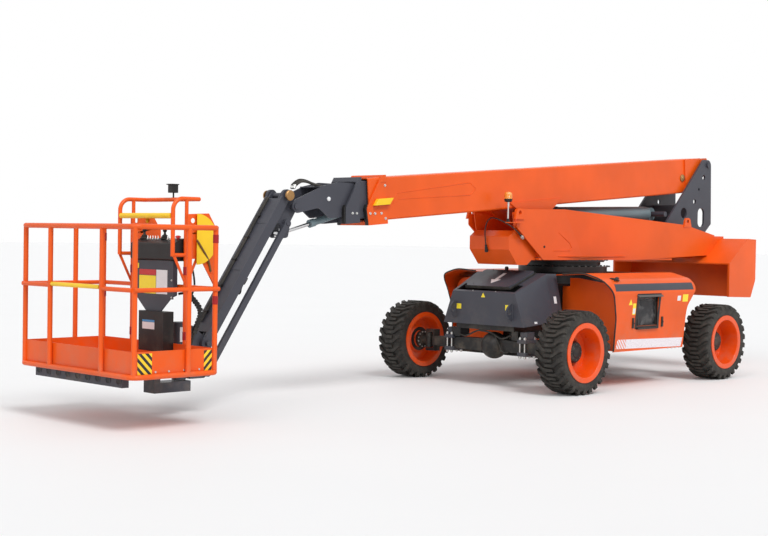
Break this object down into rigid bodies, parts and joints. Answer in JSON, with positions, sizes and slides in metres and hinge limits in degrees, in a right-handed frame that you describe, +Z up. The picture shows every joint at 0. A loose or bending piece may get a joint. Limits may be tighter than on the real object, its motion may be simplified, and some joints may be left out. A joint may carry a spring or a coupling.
{
  "type": "telescopic boom lift",
  "caption": "Self-propelled telescopic boom lift: wheeled chassis, slewing turntable, raising boom with sliding sections, parallelogram jib and a rotating work platform.",
  "frame": {"origin": "under the middle of the stowed machine's length and width, on the ground", "axes": "+X towards the boom's tip and platform, +Y to the machine's left, +Z up"},
  "size_m": [8.78, 2.408, 2.4653],
  "materials": {
    "orange_paint": "gloss",
    "slate_paint": "satin",
    "black_parts": "satin",
    "tyre_rubber": "matt",
    "chrome_rod": "polished",
    "yellow_paint": "gloss",
    "cylinder_paint": "gloss",
    "amber_lens": "clear",
    "rim_paint": "gloss"
  },
  "bodies": {
    "chassis": {"chassis_frame": "black_parts", "front_axle": "black_parts", "rear_axle": "black_parts", "front_body": "slate_paint", "rear_body": "slate_paint", "left_pod": "orange_paint", "right_pod": "orange_paint", "engine": "black_parts", "hydraulic_tank": "black_parts", "slew_ring": "black_parts"},
    "front_lid": {"front_lid": "slate_paint"},
    "left_cover": {"left_cover": "orange_paint"},
    "right_cover": {"right_cover": "orange_paint"},
    "left_knuckle": {"left_knuckle": "black_parts"},
    "right_knuckle": {"right_knuckle": "black_parts"},
    "steering_rod": {"steering_rod": "black_parts"},
    "turntable": {"turntable_frame": "orange_paint", "front_box": "orange_paint", "boom_posts": "slate_paint", "counterweight": "orange_paint", "slew_drive": "black_parts", "beacon": "amber_lens"},
    "boom_base": {"boom_base": "orange_paint", "base_collar": "orange_paint"},
    "boom_mid": {"boom_mid": "slate_paint"},
    "boom_tip": {"boom_tip": "slate_paint", "boom_nose": "slate_paint"},
    "lift_barrel": {"lift_cylinder_barrel": "cylinder_paint"},
    "lift_rod": {"lift_cylinder_rod": "chrome_rod"},
    "jib_knuckle": {"jib_knuckle": "slate_paint"},
    "level_barrel": {"level_cylinder_barrel": "cylinder_paint"},
    "level_rod": {"level_cylinder_rod": "chrome_rod"},
    "jib": {"jib_beam": "slate_paint"},
    "jib_link": {"jib_link": "slate_paint"},
    "jib_barrel": {"jib_cylinder_barrel": "cylinder_paint"},
    "jib_rod": {"jib_cylinder_rod": "chrome_rod"},
    "platform_support": {"platform_support": "slate_paint", "rotator": "slate_paint"},
    "basket": {"basket_frame": "orange_paint", "basket_floor": "orange_paint", "toe_boards": "orange_paint", "guard_hoops": "orange_paint", "guard_bar": "yellow_paint", "guard_discs": "yellow_paint", "control_console": "black_parts", "console_bracket": "slate_paint", "document_box": "black_parts", "under_beam": "slate_paint"},
    "gate_bar": {"gate_bar": "yellow_paint"},
    "front_left_wheel": {"front_left_rim": "rim_paint", "front_left_tyre": "tyre_rubber"},
    "front_right_wheel": {"front_right_rim": "rim_paint", "front_right_tyre": "tyre_rubber"},
    "rear_left_wheel": {"rear_left_rim": "rim_paint", "rear_left_tyre": "tyre_rubber"},
    "rear_right_wheel": {"rear_right_rim": "rim_paint", "rear_right_tyre": "tyre_rubber"}
  },
  "joints": [
    {"name": "turntable_slew", "type": "hinge", "parent": "chassis", "child": "turntable", "pos_m": [-1.64, 0, 1.2], "axis": [0, 0, 1], "continuous": true},
    {"name": "boom_raise", "type": "hinge", "parent": "turntable", "child": "boom_base", "pos_m": [-4.04, 0, 2.38], "axis": [0, -1, 0], "range_deg": [0, 80]},
    {"name": "boom_extend", "type": "slide", "parent": "boom_base", "child": "boom_mid", "axis": [0.9965, 0, -0.0837], "range_m": [0, 4.4]},
    {"name": "tip_extend", "type": "slide", "parent": "boom_mid", "child": "boom_tip", "axis": [0.9965, 0, -0.0837], "range_m": [0, 4.4]},
    {"name": "lift_barrel_tilt", "type": "hinge", "parent": "turntable", "child": "lift_barrel", "pos_m": [-3.19, 0, 1.785], "axis": [0, -1, 0], "range_deg": [0, 86.67]},
    {"name": "lift_rod_slide", "type": "slide", "parent": "lift_barrel", "child": "lift_rod", "axis": [0.9996, 0, -0.028], "range_m": [0, 1.3007]},
    {"name": "knuckle_level", "type": "hinge", "parent": "boom_tip", "child": "jib_knuckle", "pos_m": [2.265, 0, 1.727], "axis": [0, -1, 0], "range_deg": [-80.5, 0]},
    {"name": "level_barrel_tilt", "type": "hinge", "parent": "boom_tip", "child": "level_barrel", "pos_m": [1.57, 0, 1.692], "axis": [0, -1, 0], "range_deg": [0, 4.29]},
    {"name": "level_rod_slide", "type": "slide", "parent": "level_barrel", "child": "level_rod", "axis": [0.9672, 0, -0.2539], "range_m": [-0.3271, 0]},
    {"name": "jib_raise", "type": "hinge", "parent": "jib_knuckle", "child": "jib", "pos_m": [2.352, 0, 1.819], "axis": [0, -1, 0], "range_deg": [0, 120]},
    {"name": "jib_link_swing", "type": "hinge", "parent": "jib_knuckle", "child": "jib_link", "pos_m": [2.338, 0, 1.579], "axis": [0, -1, 0], "range_deg": [0, 120.5]},
    {"name": "jib_barrel_tilt", "type": "hinge", "parent": "jib_knuckle", "child": "jib_barrel", "pos_m": [2.43, 0, 1.64], "axis": [0, -1, 0], "range_deg": [0, 124.69]},
    {"name": "jib_rod_slide", "type": "slide", "parent": "jib_barrel", "child": "jib_rod", "axis": [0.5623, 0, -0.8269], "range_m": [0, 0.3252]},
    {"name": "platform_level", "type": "hinge", "parent": "jib", "child": "platform_support", "pos_m": [3.192, 0, 0.582], "axis": [0, -1, 0], "range_deg": [-120.5, 0]},
    {"name": "basket_rotate", "type": "hinge", "parent": "platform_support", "child": "basket", "pos_m": [3.39, 0, 0.54], "axis": [0, 0, 1], "range_deg": [-80, 80]},
    {"name": "gate_bar_lift", "type": "slide", "parent": "basket", "child": "gate_bar", "axis": [0, 0, 1], "range_m": [0, 0.4]},
    {"name": "front_lid_open", "type": "hinge", "parent": "chassis", "child": "front_lid", "pos_m": [-0.782, 0, 1.13], "axis": [0, -1, 0], "range_deg": [0, 28]},
    {"name": "left_cover_open", "type": "hinge", "parent": "chassis", "child": "left_cover", "pos_m": [-2.34, 1.05, 0.75], "axis": [0, 0, 1], "range_deg": [0, 50]},
    {"name": "right_cover_open", "type": "hinge", "parent": "chassis", "child": "right_cover", "pos_m": [-2.34, -1.05, 0.75], "axis": [0, 0, -1], "range_deg": [0, 50]},
    {"name": "steer_left", "type": "hinge", "parent": "chassis", "child": "left_knuckle", "pos_m": [-0.475, 0.84, 0.404], "axis": [0, 0, 1], "range_deg": [-32, 32]},
    {"name": "steer_right", "type": "hinge", "parent": "chassis", "child": "right_knuckle", "pos_m": [-0.475, -0.84, 0.404], "axis": [0, 0, 1], "range_deg": [-32.5, 32.5]},
    {"name": "steering_rod_slide", "type": "slide", "parent": "chassis", "child": "steering_rod", "axis": [0, 1, 0], "range_m": [-0.102, 0.102]},
    {"name": "front_left_wheel_spin", "type": "hinge", "parent": "left_knuckle", "child": "front_left_wheel", "pos_m": [-0.475, 1.05, 0.404], "axis": [0, 1, 0], "continuous": true},
    {"name": "front_right_wheel_spin", "type": "hinge", "parent": "right_knuckle", "child": "front_right_wheel", "pos_m": [-0.475, -1.05, 0.404], "axis": [0, 1, 0], "continuous": true},
    {"name": "rear_left_wheel_spin", "type": "hinge", "parent": "chassis", "child": "rear_left_wheel", "pos_m": [-2.965, 1.05, 0.404], "axis": [0, 1, 0], "continuous": true},
    {"name": "rear_right_wheel_spin", "type": "hinge", "parent": "chassis", "child": "rear_right_wheel", "pos_m": [-2.965, -1.05, 0.404], "axis": [0, 1, 0], "continuous": true}
  ],
  "couplings": [
    {"joint": "tip_extend", "follows": "boom_extend", "ratio": 1},
    {"joint": "lift_barrel_tilt", "follows": "boom_raise", "ratio": 1.0771},
    {"joint": "lift_rod_slide", "follows": "boom_raise", "m_per_rad": 0.93015},
    {"joint": "knuckle_level", "follows": "boom_raise", "ratio": -1},
    {"joint": "level_barrel_tilt", "follows": "boom_raise", "ratio": 0.047342},
    {"joint": "level_rod_slide", "follows": "boom_raise", "m_per_rad": -0.23287},
    {"joint": "jib_link_swing", "follows": "jib_raise", "ratio": 1},
    {"joint": "jib_barrel_tilt", "follows": "jib_raise", "ratio": 1.0349},
    {"joint": "jib_rod_slide", "follows": "jib_raise", "m_per_rad": 0.15433},
    {"joint": "platform_level", "follows": "jib_raise", "ratio": -1},
    {"joint": "steer_right", "follows": "steer_left", "ratio": 1},
    {"joint": "steering_rod_slide", "follows": "steer_left", "m_per_rad": -0.18}
  ]
}
